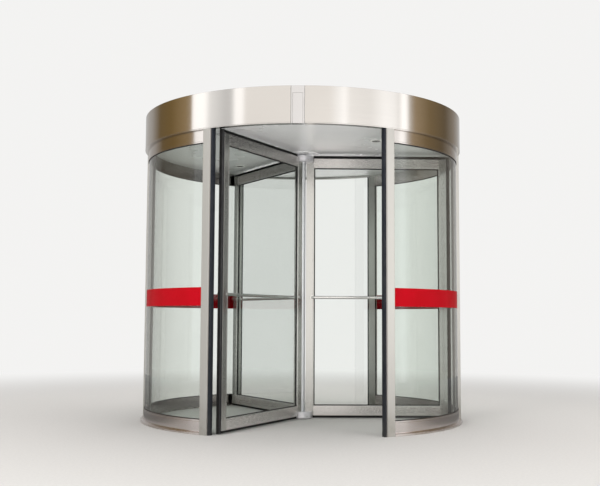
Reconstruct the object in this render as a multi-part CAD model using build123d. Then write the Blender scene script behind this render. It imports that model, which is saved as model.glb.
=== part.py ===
from build123d import *
import math
import os

# Three-wing revolving door. Millimetres, +Z up, origin on the floor at the centre of the drum.
# +Y goes into the building, so the street mouth faces -Y.

# drum and canopy
canopy_radius = 1350
post_depth = 52
canopy_underside = 2256
canopy_height = 279
fascia_wall = 4
fascia_lip = 16
fascia_top_lip_width = 40
joint_plate_width = 100
joint_gap = 2
joint_strap_overlap = 40
joint_groove_below_top = 55
joint_groove = 2
ceiling_thickness = 18
roof_thickness = 12
panel_edge_inset = 10

# side walls
head_rail_height = 96
rail_thickness = 26
kick_plate_height = 107
base_flange_height = 20
base_flange_chamfer = 6
curved_glass_thickness = 12
glass_seat_depth = 12
glass_expansion_gap = 2
mouth_post_angle = 30.5
mouth_post_width = 64
mid_post_width = 60
post_edge_fillet = 3
safety_edge_thickness = 22
safety_edge_setback = 6
safety_edge_fillet = 9

# ceiling fittings
rosette_radius = 153
rosette_thickness = 4
downlight_circle_radius = 860
downlight_first_angle = -45
downlight_count = 4
downlight_flange_radius = 50
downlight_barrel_radius = 41
downlight_barrel_wall = 4
downlight_depth = 60
downlight_recess = 34

# rotor
wing_count = 3
wing_rest_angle = 3
wing_thickness = 42
wing_inner_edge = 36
wing_outer_gap = 43
wing_foot_gap = 28
wing_head_gap = 38
stile_width = 70
rail_height = 84
bead_chamfer = 5
wing_glass_thickness = 8
wing_glass_seat = 12
brush_holder_width = 16
brush_holder_height = 9
bristle_width = 8
shaft_radius = 28
upper_hub_radius = 94
upper_hub_height = 52
upper_hub_grip = 34
lower_hub_radius = 94
lower_hub_height = 54
hub_chamfer = 3
push_bar_radius = 12.5
push_bar_height = 1028
push_bar_standoff = 42
push_bar_inset = 53
push_bar_bend_radius = 22

# bearings
floor_plate_radius = 72
floor_plate_thickness = 3
pivot_radius = 10
pivot_height = 34
top_bearing_radius = 62
top_bearing_height = 70
shaft_depth_in_bearing = 52
shaft_end_gap = 2
bearing_face_gap = 5

# clearances
curved_fit = 0.3
running_fit = 0.05
brush_tip_clearance = 6
shaft_hole_clearance = 6
brush_joint_gap = 0.5
cut_overrun = 1

# heights and radii that follow from the values above
wall_inner_radius = canopy_radius - post_depth
rail_outer_radius = wall_inner_radius + rail_thickness
curved_glass_inner_radius = wall_inner_radius + (rail_thickness - curved_glass_thickness) / 2
safety_edge_depth = post_depth - safety_edge_setback
canopy_top = canopy_underside + canopy_height
ceiling_underside = canopy_underside + fascia_lip
ceiling_top = ceiling_underside + ceiling_thickness
roof_underside = canopy_top - fascia_wall - roof_thickness
head_rail_bottom = canopy_underside - head_rail_height
curved_glass_outer_radius = curved_glass_inner_radius + curved_glass_thickness
panel_radius = canopy_radius - panel_edge_inset
shaft_hole_radius = shaft_radius + shaft_hole_clearance
wing_outer_edge = wall_inner_radius - wing_outer_gap
wing_bottom = wing_foot_gap
wing_top = ceiling_underside - wing_head_gap
upper_hub_bottom = wing_top - upper_hub_grip
lower_hub_bottom = floor_plate_thickness + bearing_face_gap
brush_top_tip = ceiling_underside - rosette_thickness - brush_tip_clearance
brush_outer_tip = wall_inner_radius - brush_tip_clearance
brush_bottom_tip = brush_tip_clearance
full_turn = 360
street_side = -90
right_side = 0
room_side = 90
left_side = 180


def arc_degrees(length, radius):
    return math.degrees(length / radius)


def chord_degrees(width, radius):
    return 2 * math.degrees(math.asin(width / 2 / radius))


def turned_profile(points, start, end):
    """Solid of a radius-height outline turned about the drum axis between two angles."""
    outline = Plane.XZ * make_face(Polyline(*points, close=True))
    return Rot(0, 0, start) * revolve(outline, Axis.Z, end - start)


def ring_block(inner, outer, low, high, start=0, end=full_turn):
    return turned_profile([(inner, low), (outer, low), (outer, high), (inner, high)], start, end)


def disc(radius, low, high):
    return Pos(0, 0, low) * Cylinder(radius, high - low, align=(Align.CENTER, Align.CENTER, Align.MIN))


def block(x_range, y_range, z_range):
    low = (x_range[0], y_range[0], z_range[0])
    size = (x_range[1] - x_range[0], y_range[1] - y_range[0], z_range[1] - z_range[0])
    return Pos(*low) * Box(*size, align=(Align.MIN, Align.MIN, Align.MIN))


# canopy
def fascia_outline():
    inner = canopy_radius - fascia_wall
    top_lip = canopy_radius - fascia_top_lip_width
    return [
        (wall_inner_radius, canopy_underside),
        (canopy_radius, canopy_underside),
        (canopy_radius, canopy_top),
        (top_lip, canopy_top),
        (top_lip, canopy_top - fascia_wall),
        (inner, canopy_top - fascia_wall),
        (inner, ceiling_underside),
        (wall_inner_radius, ceiling_underside),
    ]


def fascia_half(centre_angle):
    reach = full_turn / 4 - arc_degrees(joint_plate_width / 2 + joint_gap, canopy_radius)
    return turned_profile(fascia_outline(), centre_angle - reach, centre_angle + reach)


def fascia_joint(centre_angle):
    """Narrow filler panel between the fascia halves, with the strap that carries it behind them."""
    half = arc_degrees(joint_plate_width / 2, canopy_radius)
    strap_half = arc_degrees(joint_plate_width / 2 + joint_strap_overlap, canopy_radius)
    strap_outer = canopy_radius - fascia_wall
    panel = turned_profile(fascia_outline(), centre_angle - half, centre_angle + half)
    strap = ring_block(
        panel_radius,
        strap_outer - curved_fit,
        ceiling_underside,
        canopy_top - fascia_wall,
        centre_angle - strap_half,
        centre_angle + strap_half,
    )
    web = ring_block(panel_radius, strap_outer, ceiling_underside, canopy_top - fascia_wall,
                     centre_angle - half, centre_angle + half)
    groove_top = canopy_top - joint_groove_below_top
    groove = ring_block(canopy_radius - joint_groove, canopy_radius + joint_groove,
                        groove_top - joint_groove, groove_top, centre_angle - half, centre_angle + half)
    return panel + web + strap - groove


def downlight_places():
    step = full_turn / downlight_count
    return [Rot(0, 0, downlight_first_angle + step * i) * Pos(downlight_circle_radius, 0, 0)
            for i in range(downlight_count)]


def ceiling():
    panel = disc(panel_radius - curved_fit, ceiling_underside, ceiling_top)
    panel -= disc(shaft_hole_radius, ceiling_underside, ceiling_top)
    for place in downlight_places():
        panel -= place * disc(downlight_barrel_radius + curved_fit, ceiling_underside, ceiling_top)
    return panel


def ceiling_rosette():
    plate = disc(rosette_radius, ceiling_underside - rosette_thickness, ceiling_underside)
    return plate - disc(shaft_hole_radius, ceiling_underside - rosette_thickness, ceiling_underside)


def downlight():
    """One recessed light: trim flange under the ceiling, barrel through it, lens set back inside."""
    barrel_inner = downlight_barrel_radius - downlight_barrel_wall
    flange_low = ceiling_underside - rosette_thickness
    outline = [
        (0, ceiling_underside + downlight_recess),
        (barrel_inner - downlight_barrel_wall, ceiling_underside + downlight_recess),
        (barrel_inner, flange_low),
        (downlight_flange_radius, flange_low),
        (downlight_flange_radius, ceiling_underside),
        (downlight_barrel_radius, ceiling_underside),
        (downlight_barrel_radius, ceiling_underside + downlight_depth),
        (0, ceiling_underside + downlight_depth),
    ]
    return turned_profile(outline, 0, full_turn)


def ceiling_downlights():
    return Compound(children=[place * downlight() for place in downlight_places()])


def canopy_roof():
    return disc(panel_radius - curved_fit, roof_underside, roof_underside + roof_thickness)


def top_bearing():
    """Closed housing on the ceiling panel that holds the head of the shaft."""
    housing = disc(top_bearing_radius, ceiling_top, ceiling_top + top_bearing_height)
    return housing - disc(shaft_radius + running_fit, ceiling_top, ceiling_top + shaft_depth_in_bearing)


# side walls, each between a street mouth post and a room mouth post
def post_half_degrees():
    return chord_degrees(mouth_post_width, rail_outer_radius) / 2


def side_angles(side, half):
    """Start and end angles of the wall piece on one side (left or right) and half (front or rear)."""
    street = mouth_post_angle + post_half_degrees()
    spans = {
        ("right", "front"): (street_side + street, right_side),
        ("right", "rear"): (right_side, room_side - street),
        ("left", "rear"): (room_side + street, left_side),
        ("left", "front"): (left_side, full_turn + street_side - street),
    }
    return spans[(side, half)]


def past_mouth_post(angles, mouth_first, length, radius):
    """The same angles, carried on by a length into the mouth post at their mouth end."""
    reach = arc_degrees(length, radius)
    start, end = angles
    if mouth_first:
        return start - reach, end
    return start, end + reach


def starts_at_mouth(side, half):
    return (side, half) in [("right", "front"), ("left", "rear")]


def mid_post_zone(half_width):
    reach = canopy_radius + half_width
    return block((-reach, reach), (-half_width, half_width), (0, canopy_top))


def glass_groove(low, high, angles):
    start, end = angles
    return ring_block(curved_glass_inner_radius - curved_fit, curved_glass_outer_radius + curved_fit,
                      low, high, start, end)


def rail_groove(low, high, angles):
    start, end = angles
    return glass_groove(low, high, (start - cut_overrun, end + cut_overrun))


def post_groove(angles):
    return glass_groove(kick_plate_height - glass_seat_depth, head_rail_bottom + glass_seat_depth, angles)


def head_rail(side, half):
    angles = side_angles(side, half)
    rail = ring_block(wall_inner_radius, rail_outer_radius, head_rail_bottom, canopy_underside, *angles)
    rail -= rail_groove(head_rail_bottom, head_rail_bottom + glass_seat_depth, angles)
    return rail - mid_post_zone(mid_post_width / 2)


def kick_plate(side, half):
    angles = side_angles(side, half)
    outline = [
        (wall_inner_radius, 0),
        (canopy_radius, 0),
        (canopy_radius, base_flange_height - base_flange_chamfer),
        (canopy_radius - base_flange_chamfer, base_flange_height),
        (rail_outer_radius, base_flange_height),
        (rail_outer_radius, kick_plate_height),
        (wall_inner_radius, kick_plate_height),
    ]
    plate = turned_profile(outline, *angles)
    plate -= rail_groove(kick_plate_height - glass_seat_depth, kick_plate_height, angles)
    return plate - mid_post_zone(mid_post_width / 2)


def curved_glass(side, half):
    angles = past_mouth_post(side_angles(side, half), starts_at_mouth(side, half),
                             glass_seat_depth, curved_glass_outer_radius)
    low = kick_plate_height - glass_seat_depth
    high = head_rail_bottom + glass_seat_depth - glass_expansion_gap
    pane = ring_block(curved_glass_inner_radius, curved_glass_outer_radius, low, high, *angles)
    return pane - mid_post_zone(mid_post_width / 2 - glass_seat_depth)


def mouth_post_centre(side, half):
    mouth = street_side if half == "front" else room_side
    towards_right = (side == "right") == (half == "front")
    return mouth + mouth_post_angle if towards_right else mouth - mouth_post_angle


def mouth_post(side, half):
    centre = mouth_post_centre(side, half)
    half_angle = post_half_degrees()
    post = ring_block(wall_inner_radius, canopy_radius, 0, canopy_underside,
                      centre - half_angle, centre + half_angle)
    outer_edges = post.edges().filter_by(Axis.Z).sort_by(lambda e: e.center().X ** 2 + e.center().Y ** 2)[-2:]
    post = fillet(outer_edges, post_edge_fillet)
    angles = past_mouth_post(side_angles(side, half), starts_at_mouth(side, half),
                             glass_seat_depth, curved_glass_outer_radius)
    return post - post_groove(angles)


def mid_post(side):
    post = block((wall_inner_radius, canopy_radius), (-mid_post_width / 2, mid_post_width / 2),
                 (0, canopy_underside))
    post = fillet(post.edges().filter_by(Axis.Z).group_by(Axis.X)[-1], post_edge_fillet)
    reach = arc_degrees(mid_post_width, wall_inner_radius)
    post -= post_groove((-reach, reach)) - mid_post_zone(mid_post_width / 2 - glass_seat_depth)
    return Rot(0, 0, right_side if side == "right" else left_side) * post


def safety_edge(side, half):
    """Rubber buffer with a rounded nose on the mouth side of a mouth post."""
    centre = mouth_post_centre(side, half)
    mouth = street_side if half == "front" else room_side
    turn = -1 if centre > mouth else 1
    face_angle = centre + turn * post_half_degrees()
    edge = block((wall_inner_radius, wall_inner_radius + safety_edge_depth),
                 (0, safety_edge_thickness), (0, canopy_underside))
    edge = fillet(edge.edges().filter_by(Axis.Z).group_by(Axis.Y)[-1], safety_edge_fillet)
    if turn < 0:
        edge = mirror(edge, Plane.XZ)
    return Rot(0, 0, face_angle) * edge


# rotor, each wing drawn along +X and then turned to its angle
def wing_angles():
    return [wing_rest_angle + full_turn / wing_count * i for i in range(wing_count)]


def at_wing(angle, shape):
    return Rot(0, 0, angle) * shape


def wing_frame():
    """Rectangular frame with bevelled beads, a glass groove all round and notches for both hubs."""
    half = wing_thickness / 2
    inner_x = wing_inner_edge + stile_width
    outer_x = wing_outer_edge - stile_width
    low_z = wing_bottom + rail_height
    high_z = wing_top - rail_height
    frame = block((wing_inner_edge, wing_outer_edge), (-half, half), (wing_bottom, wing_top))
    frame -= block((inner_x, outer_x), (-half, half), (low_z, high_z))
    daylight = frame.edges().filter_by(
        lambda e: abs(abs(e.center().Y) - half) < 0.01
        and inner_x - 1 < e.center().X < outer_x + 1
        and low_z - 1 < e.center().Z < high_z + 1
    )
    frame = chamfer(daylight, bead_chamfer)
    glass_half = wing_glass_thickness / 2
    frame -= block((inner_x - wing_glass_seat, outer_x + wing_glass_seat), (-glass_half, glass_half),
                   (low_z - wing_glass_seat, high_z + wing_glass_seat))
    frame -= disc(lower_hub_radius + curved_fit, wing_bottom, lower_hub_bottom + lower_hub_height)
    frame -= disc(upper_hub_radius + curved_fit, upper_hub_bottom, wing_top)
    return frame


def wing_glass():
    half = wing_glass_thickness / 2
    return block(
        (wing_inner_edge + stile_width - wing_glass_seat, wing_outer_edge - stile_width + wing_glass_seat),
        (-half, half),
        (wing_bottom + rail_height - wing_glass_seat, wing_top - rail_height + wing_glass_seat),
    )


def brush_section(reach):
    """Outline of a brush strip: clamping strip, then the bristles that stand out of it."""
    holder = brush_holder_width / 2
    bristle = bristle_width / 2
    return make_face(Polyline(
        (-holder, 0), (holder, 0), (holder, brush_holder_height), (bristle, brush_holder_height),
        (bristle, reach), (-bristle, reach), (-bristle, brush_holder_height),
        (-holder, brush_holder_height), close=True))


def brush_strip(reach, length):
    """Strip that runs along +X from the origin, with its bristles pointing up."""
    return extrude(Plane.YZ * brush_section(reach), length)


def wing_brushes():
    """Brush strips on the head, the outer stile and the foot of one wing."""
    run_end = wing_outer_edge - brush_joint_gap
    top_start = upper_hub_radius + curved_fit
    foot_start = lower_hub_radius + curved_fit
    head = Pos(top_start, 0, wing_top) * brush_strip(brush_top_tip - wing_top, run_end - top_start)
    foot = Pos(foot_start, 0, wing_bottom) * Rot(180, 0, 0) * brush_strip(
        wing_bottom - brush_bottom_tip, run_end - foot_start)
    side = Pos(wing_outer_edge, 0, brush_top_tip) * Rot(0, 90, 0) * brush_strip(
        brush_outer_tip - wing_outer_edge, brush_top_tip - brush_bottom_tip)
    return Compound(children=[head, foot, side])


def push_bar():
    """Round bar on the pushed side of a wing, bent back at both ends onto the stiles."""
    face = -wing_thickness / 2
    centre = face - push_bar_standoff
    inner_return = wing_inner_edge + push_bar_inset
    outer_return = wing_outer_edge - push_bar_inset
    path = FilletPolyline(
        (inner_return, face, push_bar_height),
        (inner_return, centre, push_bar_height),
        (outer_return, centre, push_bar_height),
        (outer_return, face, push_bar_height),
        radius=push_bar_bend_radius,
    )
    section = Plane(origin=path @ 0, z_dir=path % 0) * Circle(push_bar_radius)
    return sweep(section, path)


def shaft():
    rod = disc(shaft_radius, lower_hub_bottom, ceiling_top + shaft_depth_in_bearing - shaft_end_gap)
    return rod - disc(pivot_radius + running_fit, lower_hub_bottom, pivot_height + shaft_end_gap)


def hub(radius, low, height, bevelled_end):
    """Collar round the shaft with the edge that shows bevelled: end 0 is its foot, -1 its head."""
    collar = disc(radius, low, low + height)
    collar = chamfer(collar.edges().group_by(Axis.Z)[bevelled_end], hub_chamfer)
    return collar - disc(shaft_radius + curved_fit, low, low + height)


def floor_bearing():
    """Plate on the floor with the pivot pin that stands up inside the foot of the shaft."""
    return disc(floor_plate_radius, 0, floor_plate_thickness) + disc(pivot_radius, 0, pivot_height)


def build_parts():
    parts = {
        "fascia_left": fascia_half(left_side),
        "fascia_right": fascia_half(right_side),
        "fascia_joint_street": fascia_joint(street_side),
        "fascia_joint_room": fascia_joint(room_side),
        "canopy_roof": canopy_roof(),
        "ceiling": ceiling(),
        "ceiling_rosette": ceiling_rosette(),
        "ceiling_downlights": ceiling_downlights(),
        "top_bearing": top_bearing(),
        "floor_bearing": floor_bearing(),
        "mid_post_left": mid_post("left"),
        "mid_post_right": mid_post("right"),
        "shaft": shaft(),
        "upper_hub": hub(upper_hub_radius, upper_hub_bottom, upper_hub_height, 0),
        "lower_hub": hub(lower_hub_radius, lower_hub_bottom, lower_hub_height, -1),
    }
    for side in ("left", "right"):
        for half in ("front", "rear"):
            place = f"{half}_{side}"
            parts[f"mouth_post_{place}"] = mouth_post(side, half)
            parts[f"safety_edge_{place}"] = safety_edge(side, half)
            parts[f"head_rail_{place}"] = head_rail(side, half)
            parts[f"kick_plate_{place}"] = kick_plate(side, half)
            parts[f"curved_glass_{place}"] = curved_glass(side, half)
    for number, angle in enumerate(wing_angles(), start=1):
        parts[f"wing_{number}_frame"] = at_wing(angle, wing_frame())
        parts[f"wing_{number}_glass"] = at_wing(angle, wing_glass())
        parts[f"wing_{number}_brushes"] = at_wing(angle, wing_brushes())
        parts[f"wing_{number}_push_bar"] = at_wing(angle, push_bar())
    return parts


def write_parts():
    os.makedirs("parts", exist_ok=True)
    for name, shape in build_parts().items():
        export_step(shape, f"parts/{name}.step")


write_parts()
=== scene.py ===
import math
import bpy
import bmesh
from mathutils import Matrix, Vector


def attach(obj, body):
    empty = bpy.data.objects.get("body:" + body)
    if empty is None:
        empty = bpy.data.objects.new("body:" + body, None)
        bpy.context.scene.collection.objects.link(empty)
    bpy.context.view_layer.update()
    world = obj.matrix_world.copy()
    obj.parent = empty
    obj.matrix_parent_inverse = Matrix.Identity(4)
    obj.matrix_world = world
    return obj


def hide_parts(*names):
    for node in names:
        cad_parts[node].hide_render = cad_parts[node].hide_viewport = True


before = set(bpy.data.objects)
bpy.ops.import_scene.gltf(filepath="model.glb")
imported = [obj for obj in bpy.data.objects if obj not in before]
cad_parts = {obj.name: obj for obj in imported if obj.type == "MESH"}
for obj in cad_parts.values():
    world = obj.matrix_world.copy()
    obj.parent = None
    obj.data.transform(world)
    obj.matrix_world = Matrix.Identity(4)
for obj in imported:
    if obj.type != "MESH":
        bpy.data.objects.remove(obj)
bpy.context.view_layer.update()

print("frame loaded:", len(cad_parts), "nodes")

# Three-wing revolving door. Metres, +Z up, the drum's axis is Z and the front mouth faces -Y.
door = {
    "drumRadius": 1.350,
    "wallInner": 1.298,
    "railOuter": 1.324,
    "canopyUnderside": 2.256,
    "canopyTop": 2.535,
    "ceilingUnderside": 2.272,
    "headRailBottom": 2.160,
    "kickPlateTop": 0.107,
    "mouthPostAngle": 30.5,      # degrees from the middle of a mouth
    "mouthPostHalf": 1.385,      # half of the post's width, in degrees
    "midPostHalf": 0.030,
    "wingAngles": (3.0, 123.0, 243.0),
}


# small tools for nodes
def feed(tree, socket, value):
    # a socket takes another node's output or a plain value
    if isinstance(value, bpy.types.NodeSocket):
        tree.links.new(value, socket)
    elif socket.type == "RGBA" and len(value) == 3:
        socket.default_value = (*value, 1.0)
    else:
        socket.default_value = value


def addNode(tree, kind, inputs=None, **settings):
    node = tree.nodes.new(kind)
    for key, value in settings.items():
        setattr(node, key, value)
    for key, value in (inputs or {}).items():
        feed(tree, node.inputs[key], value)
    return node


def addGroup(name, family, inputs, outputs):
    # a node group with named sockets: label, kind and the value it starts with
    tree = bpy.data.node_groups.new(name, family + "NodeTree")
    for way, sockets in (("OUTPUT", outputs), ("INPUT", inputs)):
        for label, kind, *start in sockets:
            socket = tree.interface.new_socket(label, in_out=way, socket_type="NodeSocket" + kind)
            if start:
                socket.default_value = start[0]
    return tree, tree.nodes.new("NodeGroupInput"), tree.nodes.new("NodeGroupOutput")


def placeGroup(tree, group, vector, **values):
    return addNode(tree, "ShaderNodeGroup", {0: vector, **values}, node_tree=group).outputs


def splitAxes(tree, vector):
    return addNode(tree, "ShaderNodeSeparateXYZ", {0: vector}).outputs


def joinAxes(tree, x=0.0, y=0.0, z=0.0):
    return addNode(tree, "ShaderNodeCombineXYZ", {0: x, 1: y, 2: z}).outputs[0]


def maths(tree, operation, *values):
    return addNode(tree, "ShaderNodeMath", dict(enumerate(values)), operation=operation).outputs[0]


def times(tree, first, second):
    return maths(tree, "MULTIPLY", first, second)


def ramp(tree, value, low, high, lowOut=0.0, highOut=1.0, kind="LINEAR"):
    inputs = {0: value, 1: low, 2: high, 3: lowOut, 4: highOut}
    return addNode(tree, "ShaderNodeMapRange", inputs, interpolation_type=kind).outputs[0]


def noise(tree, vector, scale, detail, roughness=0.5):
    inputs = {"Vector": vector, "Scale": scale, "Detail": detail, "Roughness": roughness}
    return addNode(tree, "ShaderNodeTexNoise", inputs).outputs[0]


def colourMix(tree, factor, first, second):
    return addNode(tree, "ShaderNodeMix", {0: factor, 6: first, 7: second}, data_type="RGBA").outputs[2]


def tone(colour, share):
    return tuple(share * part for part in colour)


# shader groups shared by the finishes
def drumCoordinates():
    # arc length round the drum, distance from the axis, height
    tree, given, result = addGroup("drumCoordinates", "Shader", [("Vector", "Vector")], [("Vector", "Vector")])
    x, y, z = splitAxes(tree, given.outputs[0])
    arc = times(tree, maths(tree, "ARCTAN2", y, x), door["drumRadius"])
    radius = maths(tree, "SQRT", maths(tree, "ADD", times(tree, x, x), times(tree, y, y)))
    feed(tree, result.inputs[0], joinAxes(tree, arc, radius, z))
    return tree


def brushedGrain():
    # fine lines along the direction with the small scale, and a slow cloudy change
    tree, given, result = addGroup(
        "brushedGrain", "Shader",
        [("Vector", "Vector"), ("Line Scale", "Vector", (6.0, 900.0, 900.0)), ("Cloud Scale", "Float", 2.5)],
        [("Lines", "Float"), ("Cloud", "Float")])
    place, lineScale, cloudScale = given.outputs[:3]
    stretched = addNode(tree, "ShaderNodeVectorMath", {0: place, 1: lineScale}, operation="MULTIPLY").outputs[0]
    feed(tree, result.inputs["Lines"], noise(tree, stretched, 1.0, 4.0, 0.62))
    feed(tree, result.inputs["Cloud"], noise(tree, place, cloudScale, 3.0))
    return tree


def edgeWear():
    # edges, found where a rounded normal leaves the true one, and broken up so that they look rubbed, not drawn
    tree, given, result = addGroup(
        "edgeWear", "Shader",
        [("Vector", "Vector"), ("Width", "Float", 0.0022), ("Patch Scale", "Float", 40.0)], [("Mask", "Float")])
    place, width, patchScale = given.outputs[:3]
    sharp = addNode(tree, "ShaderNodeNewGeometry").outputs["Normal"]
    soft = addNode(tree, "ShaderNodeBevel", {"Radius": width}, samples=4).outputs[0]
    turn = addNode(tree, "ShaderNodeVectorMath", {0: sharp, 1: soft}, operation="DOT_PRODUCT").outputs["Value"]
    broken = ramp(tree, noise(tree, place, patchScale, 3.0), 0.35, 0.62)
    feed(tree, result.inputs[0], times(tree, ramp(tree, turn, 0.995, 0.90), broken))
    return tree


def floorDust():
    # scuffs and dust that thin out with height
    tree, given, result = addGroup(
        "floorDust", "Shader",
        [("Vector", "Vector"), ("Reach", "Float", 0.25), ("Patch Scale", "Float", 9.0)], [("Mask", "Float")])
    place, reach, patchScale = given.outputs[:3]
    low = ramp(tree, splitAxes(tree, place)[2], reach, 0.0, kind="SMOOTHSTEP")
    patches = ramp(tree, noise(tree, place, patchScale, 5.0, 0.65), 0.3, 0.75)
    feed(tree, result.inputs[0], times(tree, low, patches))
    return tree


def handMarks():
    # greasy marks at hand height and a faint wiped haze everywhere else
    tree, given, result = addGroup(
        "handMarks", "Shader",
        [("Vector", "Vector"), ("Height", "Float", 1.05), ("Spread", "Float", 0.35)], [("Mask", "Float")])
    place, height, spread = given.outputs[:3]
    away = maths(tree, "ABSOLUTE", maths(tree, "SUBTRACT", splitAxes(tree, place)[2], height))
    near = maths(tree, "SUBTRACT", 1.0, maths(tree, "MINIMUM", maths(tree, "DIVIDE", away, spread), 1.0))
    touched = times(tree, near, ramp(tree, noise(tree, place, 14.0, 4.0, 0.7), 0.5, 0.8))
    wiped = times(tree, ramp(tree, noise(tree, place, 1.7, 2.0), 0.45, 0.8), 0.25)
    feed(tree, result.inputs[0], maths(tree, "MINIMUM", maths(tree, "ADD", touched, wiped), 1.0))
    return tree


coordinateGroup = drumCoordinates()
grainGroup = brushedGrain()
wearGroup = edgeWear()
dustGroup = floorDust()
markGroup = handMarks()


def newMaterial(name):
    material = bpy.data.materials.new(name)
    material.use_nodes = True
    tree = material.node_tree
    return material, tree, tree.nodes["Principled BSDF"], addNode(tree, "ShaderNodeTexCoord").outputs["Object"]


def setShader(tree, shader, inputs):
    for label, value in inputs.items():
        feed(tree, shader.inputs[label], value)


def bumped(tree, height, strength, distance):
    inputs = {"Height": height, "Strength": strength, "Distance": distance}
    return addNode(tree, "ShaderNodeBump", inputs).outputs[0]


def showSurface(tree, surface):
    feed(tree, tree.nodes["Material Output"].inputs["Surface"], surface)


def showMixed(tree, factor, first, second):
    inputs = {0: factor, 1: first.outputs[0], 2: second.outputs[0]}
    showSurface(tree, addNode(tree, "ShaderNodeMixShader", inputs).outputs[0])


def metShiny(tree):
    # 1 for rays that have met a shiny surface, 0 for the others
    return ramp(tree, addNode(tree, "ShaderNodeLightPath").outputs["Glossy Depth"], 0.0, 1.0)


# metals: "lines" is the scale of the brushed lines round the drum, outwards and up, "turn" the direction of the
# anisotropy, "dust" how high it reaches, "contrast" how dark the lines are; a steel gives only what differs from
# plainSteel
plainSteel = {"anisotropy": 0.0, "turn": 0.0, "wear": 0.8, "dust": 0.05, "bump": 0.05, "contrast": 0.90,
              "metallic": 1.0}
steelWear = {"bare": (0.82, 0.81, 0.79), "dust": (0.30, 0.26, 0.21), "dustCover": 0.35, "dustRough": 0.30,
             "cloudTone": 0.90, "cloudPart": 0.25, "roughSpread": (-0.05, 0.06), "bumpDepth": 0.0004}
steels = {
    "fasciaSteel": {"colour": (0.70, 0.68, 0.655), "roughness": 0.14, "lines": (2.0, 1400.0, 1400.0),
                    "anisotropy": 0.84, "turn": 0.25, "wear": 0.5, "dust": 0.01, "bump": 0.03, "contrast": 0.93},
    "panelSteel": {"colour": (0.725, 0.72, 0.725), "roughness": 0.17, "lines": (2.0, 1400.0, 1400.0),
                   "anisotropy": 0.80, "turn": 0.25, "wear": 0.5, "dust": 0.01, "bump": 0.03, "contrast": 0.94},
    "railSteel": {"colour": (0.63, 0.605, 0.585), "roughness": 0.15, "lines": (3.0, 900.0, 900.0),
                  "anisotropy": 0.84, "turn": 0.25, "wear": 0.5, "dust": 0.22, "bump": 0.03, "contrast": 0.92},
    "kickSteel": {"colour": (0.70, 0.655, 0.64), "roughness": 0.16, "lines": (3.0, 900.0, 900.0),
                  "anisotropy": 0.84, "turn": 0.25, "wear": 0.5, "dust": 0.03, "bump": 0.04, "contrast": 0.92},
    "postSteel": {"colour": (0.56, 0.555, 0.53), "roughness": 0.38, "lines": (900.0, 900.0, 3.0),
                  "anisotropy": 0.45, "wear": 0.6, "dust": 0.30},
    # stileSteel and wingRailSteel are one steel in two tones: the wing rails' colour is painted lighter than the
    # stiles', a painted highlight
    "stileSteel": {"colour": (0.62, 0.62, 0.60), "roughness": 0.20, "lines": (900.0, 900.0, 3.0),
                   "dust": 0.25, "bump": 0.06},
    "wingRailSteel": {"colour": (0.83, 0.805, 0.79), "roughness": 0.26, "lines": (900.0, 3.0, 900.0),
                      "dust": 0.06, "bump": 0.06},
    "barSteel": {"colour": (0.88, 0.875, 0.86), "roughness": 0.18, "lines": (60.0, 60.0, 60.0),
                 "wear": 0.3, "dust": 0.01, "bump": 0.02, "contrast": 0.96, "metallic": 0.9},
    "hubSteel": {"colour": (0.78, 0.775, 0.81), "roughness": 0.34, "lines": (4.0, 900.0, 900.0),
                 "anisotropy": 0.6, "turn": 0.25, "dust": 0.03, "metallic": 0.75},
    "shaftSteel": {"colour": (0.80, 0.82, 0.85), "roughness": 0.34, "lines": (900.0, 900.0, 4.0),
                   "wear": 0.4, "bump": 0.04, "contrast": 0.92, "metallic": 0.75},
    "screwSteel": {"colour": (0.62, 0.62, 0.61), "roughness": 0.30, "lines": (500.0, 500.0, 500.0),
                   "wear": 0.6, "bump": 0.06, "contrast": 0.88},
}


def brushedMetal(name):
    finish = {**plainSteel, **steels[name]}
    material, tree, shader, position = newMaterial(name)
    unrolled = placeGroup(tree, coordinateGroup, position)[0]
    lines, cloud = placeGroup(tree, grainGroup, unrolled, **{"Line Scale": finish["lines"]})
    wear = placeGroup(tree, wearGroup, position)[0]
    dust = placeGroup(tree, dustGroup, position, Reach=finish["dust"])[0]
    colour = finish["colour"]
    base = colourMix(tree, ramp(tree, lines, 0.30, 0.70), tone(colour, finish["contrast"]), colour)
    clouded = ramp(tree, cloud, 0.35, 0.65, 0.0, steelWear["cloudPart"])
    base = colourMix(tree, clouded, base, tone(colour, steelWear["cloudTone"]))
    base = colourMix(tree, times(tree, wear, finish["wear"]), base, steelWear["bare"])
    base = colourMix(tree, times(tree, dust, steelWear["dustCover"]), base, steelWear["dust"])
    grained = ramp(tree, lines, 0.25, 0.75, *(finish["roughness"] + part for part in steelWear["roughSpread"]))
    setShader(tree, shader, {
        "Base Color": base, "Metallic": finish["metallic"],
        "Roughness": maths(tree, "ADD", grained, times(tree, dust, steelWear["dustRough"])),
        "Normal": bumped(tree, lines, finish["bump"], steelWear["bumpDepth"]),
        "Anisotropic": finish["anisotropy"], "Anisotropic Rotation": finish["turn"]})
    if finish["anisotropy"] > 0:
        tangent = addNode(tree, "ShaderNodeTangent", direction_type="RADIAL", axis="Z").outputs[0]
        feed(tree, shader.inputs["Tangent"], tangent)
    return material
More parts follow.
